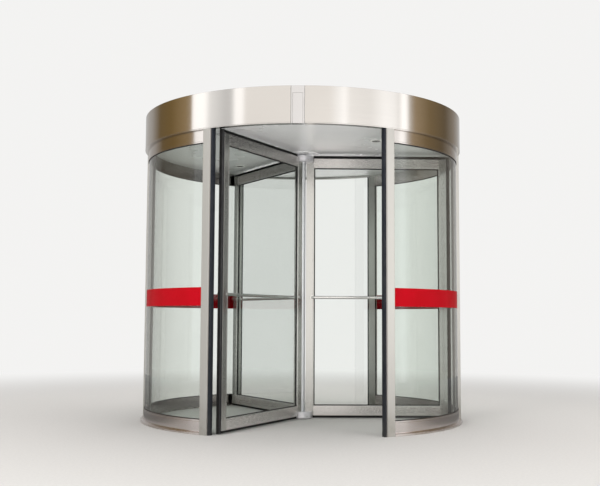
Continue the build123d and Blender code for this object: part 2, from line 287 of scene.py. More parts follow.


# painted and moulded finishes: "scale" and "fine" are the scales of its patches and its grain, "shine" is the
# specular level, "paintedShadeLeft" is what is left of the colour under a painted shade in mirrored light where x
# falls through "paintedShadeFrom"; a paint gives only what differs from plainPaint
plainPaint = {"metallic": 0.0, "coat": 0.0, "wear": 0.35, "dust": 0.4, "shine": 0.5}
paintWear = {"rubbedTone": 1.25, "rubbedLift": 0.03, "dust": (0.26, 0.23, 0.19), "dustReach": 0.18,
             "roughSpread": (-0.06, 0.08), "bumpDepth": 0.0005}
paints = {
    "ceilingSheet": {"colour": (0.88, 0.88, 0.895), "second": (0.85, 0.85, 0.865), "roughness": 0.24,
                     "scale": 0.9, "fine": 220.0, "bump": 0.003, "metallic": 0.22, "wear": 0.0,
                     "paintedShadeLeft": 0.18, "paintedShadeFrom": (0.32, 0.02)},
    "roofSheet": {"colour": (0.33, 0.33, 0.325), "second": (0.29, 0.287, 0.28), "roughness": 0.55,
                  "scale": 1.3, "fine": 160.0, "bump": 0.12, "metallic": 0.35},
    "rosettePlate": {"colour": (0.97, 0.97, 0.975), "second": (0.93, 0.93, 0.94), "roughness": 0.25,
                     "scale": 9.0, "fine": 300.0, "bump": 0.01, "metallic": 0.05, "coat": 0.2},
    "lightTrim": {"colour": (0.90, 0.90, 0.88), "second": (0.84, 0.83, 0.80), "roughness": 0.38,
                  "scale": 9.0, "fine": 300.0, "bump": 0.05, "coat": 0.3, "wear": 0.1},
    "lampShade": {"colour": (0.030, 0.030, 0.031), "second": (0.045, 0.044, 0.043), "roughness": 0.50,
                  "scale": 30.0, "fine": 500.0, "bump": 0.08, "wear": 0.1, "dust": 0.1},
    "darkBearing": {"colour": (0.060, 0.060, 0.064), "second": (0.035, 0.035, 0.037), "roughness": 0.45,
                    "scale": 12.0, "fine": 240.0, "bump": 0.15, "metallic": 0.3},
    "blackGasket": {"colour": (0.013, 0.013, 0.014), "second": (0.022, 0.021, 0.020), "roughness": 0.62,
                    "scale": 20.0, "fine": 400.0, "bump": 0.15, "shine": 0.25},
    "jointSeal": {"colour": (0.20, 0.197, 0.19), "second": (0.16, 0.157, 0.15), "roughness": 0.60,
                  "scale": 20.0, "fine": 400.0, "bump": 0.10, "shine": 0.25},
    "edgeRubber": {"colour": (0.010, 0.012, 0.017), "second": (0.020, 0.022, 0.026), "roughness": 0.55,
                   "scale": 7.0, "fine": 350.0, "bump": 0.20, "shine": 0.14, "dust": 0.15},
    "brushHolder": {"colour": (0.016, 0.016, 0.018), "second": (0.030, 0.030, 0.031), "roughness": 0.50,
                    "scale": 10.0, "fine": 300.0, "bump": 0.08, "shine": 0.30, "dust": 0.05},
    "bristleBlack": {"colour": (0.007, 0.007, 0.008), "second": (0.018, 0.017, 0.016), "roughness": 0.70,
                     "scale": 60.0, "fine": 900.0, "bump": 0.25, "shine": 0.10, "dust": 0.04},
    "redFilm": {"colour": (0.41, 0.002, 0.009), "second": (0.37, 0.002, 0.007), "roughness": 0.45,
                "scale": 5.0, "fine": 180.0, "bump": 0.05, "shine": 0.04, "dust": 0.1},
}


def paintedFinish(name):
    paint = {**plainPaint, **paints[name]}
    material, tree, shader, position = newMaterial(name)
    patches = noise(tree, position, paint["scale"], 4.0, 0.6)
    grain = noise(tree, position, paint["fine"], 2.0)
    wear = placeGroup(tree, wearGroup, position)[0]
    dust = placeGroup(tree, dustGroup, position, Reach=paintWear["dustReach"])[0]
    rubbed = tuple(min(1.0, paintWear["rubbedTone"] * part + paintWear["rubbedLift"]) for part in paint["colour"])
    base = colourMix(tree, ramp(tree, patches, 0.35, 0.68), paint["colour"], paint["second"])
    base = colourMix(tree, times(tree, wear, paint["wear"]), base, rubbed)
    base = colourMix(tree, times(tree, dust, paint["dust"]), base, paintWear["dust"])
    if "paintedShadeLeft" in paint:
        # painted shade: for rays off shiny surfaces the colour is darkened on the left, standing in for the darker
        # ceiling that the polished wings there mirror
        left = ramp(tree, splitAxes(tree, position)[0], *paint["paintedShadeFrom"])
        lost = times(tree, times(tree, metShiny(tree), left), 1.0 - paint["paintedShadeLeft"])
        base = colourMix(tree, lost, base, (0.0, 0.0, 0.0))
    rough = ramp(tree, patches, 0.3, 0.7, *(paint["roughness"] + part for part in paintWear["roughSpread"]))
    setShader(tree, shader, {
        "Base Color": base, "Roughness": rough, "Metallic": paint["metallic"], "Coat Weight": paint["coat"],
        "Specular IOR Level": paint["shine"],
        "Normal": bumped(tree, grain, paint["bump"], paintWear["bumpDepth"])})
    return material


lensFinish = {"cells": 260.0, "light": (0.62, 0.61, 0.58), "dark": (0.50, 0.49, 0.47), "roughness": 0.4,
              "bump": 0.3, "bumpDepth": 0.001}


def frostedLens(name):
    material, tree, shader, position = newMaterial(name)
    cells = addNode(tree, "ShaderNodeTexVoronoi", {"Scale": lensFinish["cells"], "Vector": position}).outputs[0]
    setShader(tree, shader, {
        "Base Color": colourMix(tree, ramp(tree, cells, 0.0, 0.8), lensFinish["light"], lensFinish["dark"]),
        "Normal": bumped(tree, cells, lensFinish["bump"], lensFinish["bumpDepth"]),
        "Roughness": lensFinish["roughness"]})
    return material


glasses = {
    "curvedPane": {"tint": (0.900, 0.930, 0.905), "haze": 0.10},
    "wingPane": {"tint": (0.905, 0.932, 0.912), "haze": 0.12},
}
paneDirt = {"dustReach": 0.45, "dustPart": 0.5, "markPart": 0.5, "tone": 0.93, "shadow": (0.80, 0.84, 0.81)}


def clearPane(name):
    tint, haze = glasses[name]["tint"], glasses[name]["haze"]
    material, tree, shader, position = newMaterial(name)
    marks = placeGroup(tree, markGroup, position)[0]
    dust = placeGroup(tree, dustGroup, position, Reach=paneDirt["dustReach"])[0]
    dulled = maths(tree, "ADD", times(tree, marks, paneDirt["markPart"]), times(tree, dust, paneDirt["dustPart"]))
    setShader(tree, shader, {
        "Base Color": colourMix(tree, dulled, tint, tone(tint, paneDirt["tone"])),
        "Roughness": ramp(tree, dulled, 0.0, 1.0, 0.0, haze),
        "Metallic": 0.0, "Transmission Weight": 1.0, "IOR": 1.45})
    # the panes throw a light tinted shadow
    clear = addNode(tree, "ShaderNodeBsdfTransparent", {"Color": paneDirt["shadow"]})
    showMixed(tree, addNode(tree, "ShaderNodeLightPath").outputs["Is Shadow Ray"], shader, clear)
    return material


looks = {}
for makeFinish, names in ((brushedMetal, steels), (paintedFinish, paints), (frostedLens, ["frostedLens"]),
                          (clearPane, glasses)):
    for name in names:
        looks[name] = makeFinish(name)
print("finishes made:", len(looks))


# small tools for meshes
def addObject(name, data):
    thing = bpy.data.objects.new(name, data)
    bpy.context.scene.collection.objects.link(thing)
    return thing


def meshFrom(name, bm):
    mesh = bpy.data.meshes.new(name)
    bm.to_mesh(mesh)
    bm.free()
    return mesh


def polar(radius, angle, height=0.0):
    return radius * math.cos(angle), radius * math.sin(angle), height


def evenAngles(count):
    return [2 * math.pi * i / count for i in range(count)]


def band(inner, outer, low, high):
    # a plain rectangular outline
    return [(inner, low), (outer, low), (outer, high), (inner, high)]


def rounded(points, radius, steps=3):
    # a closed outline with every corner softened, over less than half of each side beside it
    outline = []
    for i, point in enumerate(points):
        corner = Vector(point)
        before = Vector(points[i - 1]) - corner
        after = Vector(points[(i + 1) % len(points)]) - corner
        reach = min(radius, 0.45 * before.length, 0.45 * after.length)
        start = corner + before.normalized() * reach
        end = corner + after.normalized() * reach
        for k in range(steps + 1):
            t = k / steps
            outline.append(tuple((1 - t) ** 2 * start + 2 * t * (1 - t) * corner + t ** 2 * end))
    return outline


def skin(bm, rings, whole=False, slot=0):
    # faces between neighbouring rings; a row of rings that doesn't close gets a face over each end
    count = len(rings[0])
    faces = []
    for near, far in zip(rings, rings[1:] + rings[:1] if whole else rings[1:]):
        for i in range(count):
            j = (i + 1) % count
            faces.append(bm.faces.new((near[i], near[j], far[j], far[i])))
    if not whole:
        faces += [bm.faces.new(rings[0][::-1]), bm.faces.new(rings[-1])]
    for face in faces:
        face.material_index = slot


def turned(bm, outline, start=0.0, end=360.0, step=1.0, slot=0, flatStart=None, flatEnd=None):
    # a radius-height outline carried round the drum's axis; a flat end stays a set distance off the middle plane
    whole = end - start >= 359.99
    count = max(2, math.ceil((end - start) / step))
    rings = []
    for i in range(count if whole else count + 1):
        ring = []
        for radius, height in outline:
            angle = math.radians(start + (end - start) * i / count)
            if i == 0 and flatStart is not None:
                angle = math.radians(start) + math.asin(flatStart / radius)
            if i == count and flatEnd is not None:
                angle = math.radians(end) - math.asin(flatEnd / radius)
            ring.append(bm.verts.new(polar(radius, angle, height)))
        rings.append(ring)
    skin(bm, rings, whole, slot)


def prism(bm, outline, place, slot=0):
    # an outline carried along a line; place(u, v, end) gives the point, with end 0 or 1
    skin(bm, [[bm.verts.new(place(u, v, end)) for u, v in outline] for end in (0, 1)], slot=slot)


def moveNewest(bm, first, matrix):
    # moves everything that was added since the mesh had that many points
    bm.verts.ensure_lookup_table()
    bmesh.ops.transform(bm, matrix=matrix, verts=bm.verts[first:])


def addMesh(bm, mesh, matrix=Matrix.Identity(4), slot=0):
    # another mesh's faces, moved into place
    points, faces = len(bm.verts), len(bm.faces)
    bm.from_mesh(mesh)
    moveNewest(bm, points, matrix)
    bm.faces.ensure_lookup_table()
    for face in bm.faces[faces:]:
        face.material_index = slot


def weighNormals(piece):
    # large faces keep their own direction, and the rounded corners beside them take up the turn
    modifier = piece.modifiers.new("weigh", "WEIGHTED_NORMAL")
    modifier.mode = "FACE_AREA"
    modifier.weight = 90
    modifier.keep_sharp = True
    graph = bpy.context.evaluated_depsgraph_get()
    before = piece.data
    piece.data = bpy.data.meshes.new_from_object(piece.evaluated_get(graph), preserve_all_data_layers=True,
                                                 depsgraph=graph)
    piece.modifiers.clear()
    name = before.name
    bpy.data.meshes.remove(before)
    piece.data.name = name


def finishMesh(name, bm, finishes, body, nodes=(), sharp=32.0, turn=0.0, weighted=True):
    # outward faces, smooth shading with sharp edges, and the piece tied to its body
    bmesh.ops.recalc_face_normals(bm, faces=bm.faces)
    if turn:
        bmesh.ops.rotate(bm, verts=bm.verts, cent=(0, 0, 0), matrix=Matrix.Rotation(math.radians(turn), 3, "Z"))
    mesh = meshFrom(name, bm)
    for finish in finishes:
        mesh.materials.append(looks[finish])
    mesh.shade_smooth()
    mesh.set_sharp_from_angle(angle=math.radians(sharp))
    piece = addObject(name, mesh)
    if weighted:
        weighNormals(piece)
    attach(piece, body)
    if nodes:
        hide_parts(*nodes)


def dressNode(name, finish):
    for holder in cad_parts[name].material_slots:
        holder.material = looks[finish]


# small tools for Geometry Nodes
def endTree(tree, geometry, finish, result):
    # every tree ends in plain geometry with its finish on it
    real = addNode(tree, "GeometryNodeRealizeInstances", {0: geometry})
    painted = addNode(tree, "GeometryNodeSetMaterial", {0: real.outputs[0], "Material": looks[finish]})
    feed(tree, result.inputs[0], painted.outputs[0])


def runTree(tree, values):
    # a modifier holds the tree only long enough to read the finished mesh from it
    mesh = bpy.data.meshes.new("treeHolder")
    holder = addObject("treeHolder", mesh)
    modifier = holder.modifiers.new("tree", "NODES")
    modifier.node_group = tree
    sockets = {item.name: item.identifier for item in tree.interface.items_tree if item.in_out == "INPUT"}
    for label, value in values.items():
        modifier[sockets[label]] = value
    holder.update_tag()
    bpy.context.view_layer.update()
    graph = bpy.context.evaluated_depsgraph_get()
    result = bpy.data.meshes.new_from_object(holder.evaluated_get(graph), preserve_all_data_layers=True,
                                             depsgraph=graph)
    holder.modifiers.remove(modifier)
    bpy.data.objects.remove(holder)
    bpy.data.meshes.remove(mesh)
    return result


def addTree(bm, tree, values, matrix=Matrix.Identity(4)):
    # what a tree makes goes into the second material slot
    mesh = runTree(tree, values)
    addMesh(bm, mesh, matrix, slot=1)
    bpy.data.meshes.remove(mesh)


# screws
screwShape = {"headRadius": 0.0045, "headHeight": 0.0022, "recess": 0.0014, "recessPart": 0.40, "sides": 16,
              "dome": ((1.0, 0.0), (1.0, 0.35), (0.80, 0.85), (0.52, 1.0))}    # shares of radius and height


def screwHead():
    # a low domed head with a six-sided recess, its seat at height 0
    bm = bmesh.new()
    radius, height = screwShape["headRadius"], screwShape["headHeight"]
    angles = evenAngles(screwShape["sides"])
    rings = [[bm.verts.new(polar(wide * radius, angle, tall * height)) for angle in angles]
             for wide, tall in screwShape["dome"]]
    for depth in (height, height - screwShape["recess"]):
        ring = []
        for angle in angles:
            flat = screwShape["recessPart"] * radius / math.cos((angle % (math.pi / 3)) - math.pi / 6)
            ring.append(bm.verts.new(polar(flat, angle, depth)))
        rings.append(ring)
    skin(bm, rings)
    bmesh.ops.recalc_face_normals(bm, faces=bm.faces)
    return addObject("screwHeadShape", meshFrom("screwHeadShape", bm))


def screwCircle(head):
    # screws on a circle, each turned its own way
    tree, given, result = addGroup(
        "screwCircle", "Geometry",
        [("Count", "Int", 12), ("Radius", "Float", 0.1), ("Height", "Float", 0.0), ("First Angle", "Float", 0.0),
         ("Size", "Float", 1.0), ("Seed", "Int", 4)], [("Geometry", "Geometry")])
    wanted = given.outputs
    circle = addNode(tree, "GeometryNodeMeshCircle", {"Vertices": wanted["Count"], "Radius": wanted["Radius"]})
    source = addNode(tree, "GeometryNodeObjectInfo", {"Object": head})
    spin = addNode(tree, "FunctionNodeRandomValue", {3: 2 * math.pi, "Seed": wanted["Seed"]}, data_type="FLOAT")
    screws = addNode(tree, "GeometryNodeInstanceOnPoints", {
        "Points": circle.outputs[0], "Instance": source.outputs["Geometry"],
        "Rotation": joinAxes(tree, z=spin.outputs[1]), "Scale": wanted["Size"]})
    placed = addNode(tree, "GeometryNodeTransform", {
        "Geometry": screws.outputs[0], "Translation": joinAxes(tree, z=wanted["Height"]),
        "Rotation": joinAxes(tree, z=wanted["First Angle"])})
    endTree(tree, placed.outputs[0], "screwSteel", result)
    return tree


head = screwHead()
screwTree = screwCircle(head)


# canopy
fascia = {"sheet": 0.004, "edge": 0.0022, "topLip": 0.040, "gapHalf": 2.207, "step": 0.75,
          "beadHeight": 0.006, "beadGroove": 0.0016, "beadStep": 0.001, "faceBack": 0.0004}
joint = {"half": 2.035, "plateHalf": 1.528, "recess": 0.0020, "plateTop": 0.055, "plateThick": 0.0034,
         "plateFoot": 0.0004, "step": 0.5, "sealWidth": 0.0975, "sealGap": 0.01, "sealProud": 0.0006,
         "sealOver": (0.0003, 0.0022), "sealHead": 0.002, "slotFoot": 0.001, "slotDeep": 0.003,
         "plateEdge": 0.0010, "strapDeep": 0.006, "strapGap": 0.0006, "strapLap": 1.6, "strapDrop": 0.0005}


def fasciaOutline(outer):
    low, high = door["canopyUnderside"], door["canopyTop"]
    bead, groove = low + fascia["beadHeight"], outer - fascia["beadGroove"]
    face, back, lip = outer - fascia["faceBack"], outer - fascia["sheet"], outer - fascia["topLip"]
    step = fascia["beadStep"]
    return rounded([
        (door["wallInner"], low), (outer, low), (outer, bead), (groove, bead + step), (groove, bead + 2 * step),
        (face, bead + 3 * step), (face, high), (lip, high), (lip, high - fascia["sheet"]),
        (back, high - fascia["sheet"]), (back, door["ceilingUnderside"]),
        (door["wallInner"], door["ceilingUnderside"])], fascia["edge"])


def fasciaHalf(name, centre, node):
    bm = bmesh.new()
    reach = 90.0 - fascia["gapHalf"]
    turned(bm, fasciaOutline(door["drumRadius"]), centre - reach, centre + reach, fascia["step"])
    finishMesh(name, bm, ["fasciaSteel"], "drum", [node])


def jointPanel(name, centre, node):
    # a recessed filler panel with a flush cover plate over its lower part
    bm = bmesh.new()
    outer, low, high = door["drumRadius"], door["canopyUnderside"], door["canopyTop"]
    half, plate, step, gap = joint["half"], joint["plateHalf"], joint["step"], joint["sealGap"]
    foot, plateHigh = low + joint["plateFoot"], high - joint["plateTop"]
    turned(bm, fasciaOutline(outer - joint["recess"]), centre - half, centre + half, step)
    cover = rounded(band(outer - joint["plateThick"], outer, foot, plateHigh), joint["plateEdge"])
    turned(bm, cover, centre - plate, centre + plate, step)
    # grey seals: down both sides of the cover plate, over its head, and in the open joints beside the panel
    face = outer - joint["recess"]
    root, tip = face - joint["slotFoot"], face + joint["sealProud"]
    upright = band(root, tip, foot, plateHigh + joint["sealHead"])
    slot = band(face - joint["slotDeep"], root, low + joint["slotFoot"], high - joint["slotFoot"])
    for side in (-1, 1):
        for outline, near, far in ((upright, plate + gap, plate + gap + joint["sealWidth"]),
                                   (slot, half + gap, fascia["gapHalf"] - gap)):
            turned(bm, outline, *sorted((centre + side * near, centre + side * far)), step, slot=1)
    over = band(root, tip, *(plateHigh + part for part in joint["sealOver"]))
    turned(bm, over, centre - plate, centre + plate, step, slot=1)
    # the strap that carries the panel, behind the sheet
    inner = outer - fascia["sheet"]
    strap = band(inner - joint["strapDeep"], inner - joint["strapGap"], door["ceilingUnderside"],
                 high - fascia["sheet"] - joint["strapDrop"])
    reach = half + joint["strapLap"]
    turned(bm, strap, centre - reach, centre + reach, fascia["step"])
    finishMesh(name, bm, ["panelSteel", "jointSeal"], "drum", [node])


fasciaHalf("fasciaLeft", 180.0, "fascia_left")
fasciaHalf("fasciaRight", 0.0, "fascia_right")
jointPanel("jointPanelStreet", -90.0, "fascia_joint_street")
jointPanel("jointPanelRoom", 90.0, "fascia_joint_room")

roof = {"radius": 1.3397, "low": 2.519, "high": 2.5302, "seams": 3, "firstSeam": -30.0, "seamGap": 0.003,
        "hole": 0.002, "edge": 0.0012, "step": 2.0, "coverRadius": 0.16, "coverThick": 0.0016, "coverSink": 0.001,
        "coverEdge": 0.001, "coverHole": 0.0008, "coverStep": 6.0, "screwSink": 0.0004, "coverScrewSeat": 0.0014}
roofScrews = (
    {"Count": 48, "Radius": 1.318, "Height": roof["high"] - roof["screwSink"], "Size": 1.6, "Seed": 3},
    {"Count": 8, "Radius": 0.14, "Height": roof["high"] + roof["coverScrewSeat"], "Size": 1.2, "Seed": 5},
)


def roofSheets():
    # three sheets with open seams, a round cover over their tips and two rings of screws
    bm = bmesh.new()
    span, high = 360.0 / roof["seams"], roof["high"]
    outline = rounded(band(roof["hole"], roof["radius"], roof["low"], high), roof["edge"])
    for i in range(roof["seams"]):
        start = roof["firstSeam"] + span * i
        first = len(bm.verts)
        turned(bm, outline, start, start + span, roof["step"])
        apart = polar(0.5 * roof["seamGap"], math.radians(start + span / 2))
        moveNewest(bm, first, Matrix.Translation(apart))
    cover = band(0.0, roof["coverRadius"], high - roof["coverSink"], high + roof["coverThick"])
    cover = [(max(r, roof["coverHole"]), z) for r, z in rounded(cover, roof["coverEdge"])]
    turned(bm, cover, step=roof["coverStep"])
    for ring in roofScrews:
        addTree(bm, screwTree, ring)
    finishMesh("roofSheets", bm, ["roofSheet", "screwSteel"], "drum", ["canopy_roof"])


roofSheets()

rosette = {"outer": 0.153, "hole": 0.034, "thick": 0.004, "grooveRadius": 0.118, "grooveDeep": 0.001,
           "centreStep": 0.0004, "rim": 0.0022, "rimInset": 0.003, "topGap": 0.0002, "edge": 0.0006, "step": 3.0}


def rosettePlate():
    low, high = (door["ceilingUnderside"] - rosette[key] for key in ("thick", "topGap"))
    hole, outer, groove, deep = (rosette[key] for key in ("hole", "outer", "grooveRadius", "grooveDeep"))
    centre = low + rosette["centreStep"]
    bm = bmesh.new()
    outline = [(hole, high), (hole, centre), (groove - deep, centre), (groove, centre + deep),
               (groove + deep, low), (outer - rosette["rimInset"], low), (outer, low + rosette["rim"]),
               (outer, high)]
    turned(bm, rounded(outline, rosette["edge"]), step=rosette["step"])
    finishMesh("ceilingRosette", bm, ["rosettePlate"], "drum", ["ceiling_rosette"])


rosettePlate()

downlight = {"circle": 0.860, "firstAngle": -45.0, "count": 4, "flange": 0.050, "flangeThick": 0.004, "rim": 0.002,
             "edge": 0.0008, "topGap": 0.0002, "barrel": 0.041, "barrelWall": 0.003, "barrelFoot": 0.006,
             "throat": 0.0365, "throatStep": 0.0004, "depth": 0.060, "step": 7.5,
             "rings": 4, "ringFoot": (0.0004, 0.0), "ringHead": (0.0009, 0.0012), "shadeFoot": 0.004,
             "shadeWall": 0.0015, "recess": 0.034, "recessEnd": 0.002,
             "lens": 0.033, "lensThick": 0.004, "lensDome": ((0.0006, 0.0015), (0.020, 0.0010))}


def downlights():
    # trim ring, dark stepped shade and a frosted lens set back in the barrel
    bm = bmesh.new()
    base = door["ceilingUnderside"]
    low, top = base - downlight["flangeThick"], base + downlight["depth"]
    flange, rim, barrel, throat, lens = (downlight[key] for key in ("flange", "rim", "barrel", "throat", "lens"))
    bore, step = barrel - downlight["barrelWall"], downlight["step"]
    trim = rounded([(throat, low + downlight["throatStep"]), (flange - rim, low), (flange, low + rim),
                    (flange, base - downlight["topGap"]), (barrel, base), (barrel, top), (bore, top),
                    (bore, base + downlight["barrelFoot"])], downlight["edge"], 2)
    shade = []
    for i in range(downlight["rings"] + 1):
        t = i / downlight["rings"]
        radius = throat + (lens - throat) * t
        height = low + downlight["shadeFoot"] + (downlight["recess"] - downlight["recessEnd"]) * t
        shade += [(radius - back, height + up) for back, up in (downlight["ringFoot"], downlight["ringHead"])]
    shade += [(r + downlight["shadeWall"], z) for r, z in shade[::-1]]
    lensLow = base + downlight["recess"] - downlight["recessEnd"]
    lensHigh = lensLow + downlight["lensThick"]
    dome = [(radius, lensLow - drop) for radius, drop in downlight["lensDome"]]
    bowl = dome + [(lens, lensLow), (lens, lensHigh), (dome[0][0], lensHigh)]
    for k in range(downlight["count"]):
        first = len(bm.verts)
        for slot, outline in enumerate((trim, shade, bowl)):
            turned(bm, outline, step=step, slot=slot)
        angle = math.radians(downlight["firstAngle"] + 360.0 / downlight["count"] * k)
        moveNewest(bm, first, Matrix.Translation(polar(downlight["circle"], angle)))
    finishMesh("downlights", bm, ["lightTrim", "lampShade", "frostedLens"], "drum",
               ["ceiling_downlights"])


downlights()
dressNode("ceiling", "ceilingSheet")
dressNode("top_bearing", "darkBearing")
print("canopy done")

# side walls, quarter by quarter: the angle of the end at the mouth, and of the end at the middle post
mouthEdge = door["mouthPostAngle"] + door["mouthPostHalf"]
quarters = {
    "front_right": (-90.0 + mouthEdge, 0.0),
    "rear_right": (90.0 - mouthEdge, 0.0),
    "rear_left": (90.0 + mouthEdge, 180.0),
    "front_left": (270.0 - mouthEdge, 180.0),
}
rail = {"edge": 0.0016, "step": 0.75, "slotHalf": 0.0066, "slotDeep": 0.012, "postGap": 0.0003, "topGap": 0.0004,
        "grooveHeight": 0.010, "groove": 0.0009, "grooveSteps": (0.0005, 0.0018, 0.0023), "faceBack": 0.0001}
kick = {"flangeHeight": 0.020, "flangeBevel": 0.006, "fillet": 0.001, "groove": 0.0012, "grooveHeight": 0.094}
pane = {"inner": 1.305, "outer": 1.317, "low": 0.095, "high": 2.170, "seat": 0.522, "flat": 0.0182,
        "edge": 0.0010}
gasket = {"width": 0.0045, "proud": 0.0065, "tuck": 0.004, "sink": 0.0001, "shoulder": 0.4, "edge": 0.0012,
          "sideSlim": 0.8, "sideEdge": 0.0008, "sideStep": 0.2, "mouthLap": 0.05, "postLap": 0.001,
          "postWider": 0.04}
film = {"low": 0.940, "high": 1.077, "thick": 0.0003, "lift": 0.00005, "mouthGap": 0.55, "postGap": 0.45}


def drawnIn(quarter, atMouth=0.0, atMiddle=0.0):
    # start and end angle of a quarter, with its ends drawn in by some degrees
    mouth, middle = quarters[quarter]
    towards = 1 if middle > mouth else -1
    return sorted((mouth + towards * atMouth, middle - towards * atMiddle))


def wallSpan(quarter, flat=door["midPostHalf"] + rail["postGap"], atMouth=0.0):
    start, end = drawnIn(quarter, atMouth)
    mouth, middle = quarters[quarter]
    return {"start": start, "end": end, "step": rail["step"], "flatStart": flat if middle < mouth else None,
            "flatEnd": flat if middle > mouth else None}


def headRail(quarter):
    inner, outer = door["wallInner"], door["railOuter"]
    low, high = door["headRailBottom"], door["canopyUnderside"] - rail["topGap"]
    middle, slot = (pane["inner"] + pane["outer"]) / 2, rail["slotHalf"]
    line, groove = low + rail["grooveHeight"], outer - rail["groove"]
    grooveLow, grooveHigh, face = (line + step for step in rail["grooveSteps"])
    bm = bmesh.new()
    outline = [(inner, low), (middle - slot, low), (middle - slot, low + rail["slotDeep"]),
               (middle + slot, low + rail["slotDeep"]), (middle + slot, low), (outer, low), (outer, line),
               (groove, grooveLow), (groove, grooveHigh), (outer - rail["faceBack"], face), (outer, high),
               (inner, high)]
    turned(bm, rounded(outline, rail["edge"]), **wallSpan(quarter))
    finishMesh("headRail_" + quarter, bm, ["railSteel"], "drum", ["head_rail_" + quarter])


def kickPlate(quarter):
    inner, outer, foot = door["wallInner"], door["railOuter"], door["drumRadius"]
    high, flange, bevel, fillet = door["kickPlateTop"], kick["flangeHeight"], kick["flangeBevel"], kick["fillet"]
    middle, slot = (pane["inner"] + pane["outer"]) / 2, rail["slotHalf"]
    line, depth = kick["grooveHeight"], kick["groove"]
    bm = bmesh.new()
    outline = [(inner, 0.0), (foot, 0.0), (foot, flange - bevel), (foot - bevel, flange), (outer + fillet, flange),
               (outer, flange + fillet), (outer, line - depth), (outer - depth, line), (outer, line + depth),
               (outer, high), (middle + slot, high), (middle + slot, high - rail["slotDeep"]),
               (middle - slot, high - rail["slotDeep"]), (middle - slot, high), (inner, high)]
    turned(bm, rounded(outline, rail["edge"]), **wallSpan(quarter))
    finishMesh("kickPlate_" + quarter, bm, ["kickSteel"], "drum", ["kick_plate_" + quarter])


def curvedGlass(quarter):
    bm = bmesh.new()
    outline = rounded(band(pane["inner"], pane["outer"], pane["low"], pane["high"]), pane["edge"], 2)
    turned(bm, outline, **wallSpan(quarter, pane["flat"], -pane["seat"]))
    finishMesh("curvedGlass_" + quarter, bm, ["curvedPane"], "drum", ["curved_glass_" + quarter],
               sharp=8.0, weighted=False)


def wallGaskets(quarter):
    # black strips that close the slot between the glass and the rails and posts, on both faces
    bm = bmesh.new()
    width, proud, tuck = gasket["width"], gasket["proud"], gasket["tuck"]
    faces = ((pane["outer"] - gasket["sink"], 1), (pane["inner"] + gasket["sink"], -1))
    for surface, way in faces:
        for edge, up in ((door["headRailBottom"], -1), (door["kickPlateTop"], 1)):
            foot, outside = edge - up * tuck, surface + way * width
            strip = [(surface, foot), (outside, foot), (outside, edge + up * gasket["shoulder"] * proud),
                     (surface, edge + up * proud)]
            turned(bm, rounded(strip, gasket["edge"], 2), **wallSpan(quarter))
    low, high = door["kickPlateTop"] - tuck, door["headRailBottom"] + tuck
    wide = math.degrees(proud / pane["outer"])
    post = math.degrees((door["midPostHalf"] - gasket["postLap"]) / pane["outer"])
    mouth, middle = quarters[quarter]
    towards = 1 if middle > mouth else -1
    for surface, way in faces:
        strip = band(surface, surface + way * width * gasket["sideSlim"], low, high)
        strip = rounded(strip, gasket["sideEdge"], 2)
        for near, far in ((mouth - towards * gasket["mouthLap"], mouth + towards * wide),
                          (middle - towards * post, middle - towards * (post + wide + gasket["postWider"]))):
            turned(bm, strip, *sorted((near, far)), gasket["sideStep"])
    finishMesh("wallGaskets_" + quarter, bm, ["blackGasket"], "drum")


def filmBand(quarter):
    # plain coloured safety film on the outside of the pane
    surface = pane["outer"]
    postGap = math.degrees(door["midPostHalf"] / surface) + film["postGap"]
    bm = bmesh.new()
    outline = band(surface + film["lift"], surface + film["thick"], film["low"], film["high"])
    turned(bm, outline, *drawnIn(quarter, film["mouthGap"], postGap), rail["step"])
    finishMesh("filmBand_" + quarter, bm, ["redFilm"], "drum")


for quarter in quarters:
    for makePiece in (headRail, kickPlate, curvedGlass, wallGaskets, filmBand):
        makePiece(quarter)

safetyEdge = {"inner": 1.2985, "outer": 1.3440, "thick": 0.0218, "carrier": 0.0045, "foot": 0.0006,
              "head": 2.2554, "ribs": 4, "ribDepth": 0.0016, "corner": 0.0085, "cornerCut": 0.3,
              "flankRibs": (0.34, 0.62), "inset": 0.001, "edge": 0.0012, "carrierGap": 0.0001,
              "carrierEdge": 0.0008}


def rubberOutline():
    # plan of the buffer: radius outwards, thickness off the post's face; grooved on its nose and its outer flank
    inner, outer = safetyEdge["inner"] + safetyEdge["inset"], safetyEdge["outer"] - safetyEdge["inset"]
    base, nose, depth = safetyEdge["carrier"], safetyEdge["thick"], safetyEdge["ribDepth"]
    corner, ribs = safetyEdge["corner"], safetyEdge["ribs"]
    cut = safetyEdge["cornerCut"] * corner
    points = [(inner, base), (outer, base)]
    for t in safetyEdge["flankRibs"]:
        level = base + (nose - base) * t
        points += [(outer, level - depth), (outer - depth, level), (outer, level + depth)]
    points += [(outer, nose - corner), (outer - cut, nose - cut), (outer - corner, nose)]
    for i in range(1, ribs):
        middle = outer - corner + (inner + corner - outer + corner) * i / ribs
        points += [(middle + depth, nose), (middle, nose - depth), (middle - depth, nose)]
    points += [(inner + corner, nose), (inner + cut, nose - cut), (inner, nose - corner)]
    return rounded(points, safetyEdge["edge"], 2)


def rubberEdge(half, side):
    mouth = -90.0 if half == "front" else 90.0
    towards = 1 if (side == "right") == (half == "front") else -1
    low, high = safetyEdge["foot"], safetyEdge["head"]
    carrier = band(*(safetyEdge[key] for key in ("inner", "outer", "carrierGap", "carrier")))
    carrier = rounded(carrier, safetyEdge["carrierEdge"], 2)
    bm = bmesh.new()
    for slot, outline in enumerate((rubberOutline(), carrier)):
        prism(bm, outline, lambda u, v, end: (u, -towards * v, high if end else low), slot)
    name = half + "_" + side
    finishMesh("rubberEdge_" + name, bm, ["edgeRubber", "railSteel"], "drum", ["safety_edge_" + name],
               turn=mouth + towards * (door["mouthPostAngle"] - door["mouthPostHalf"]))


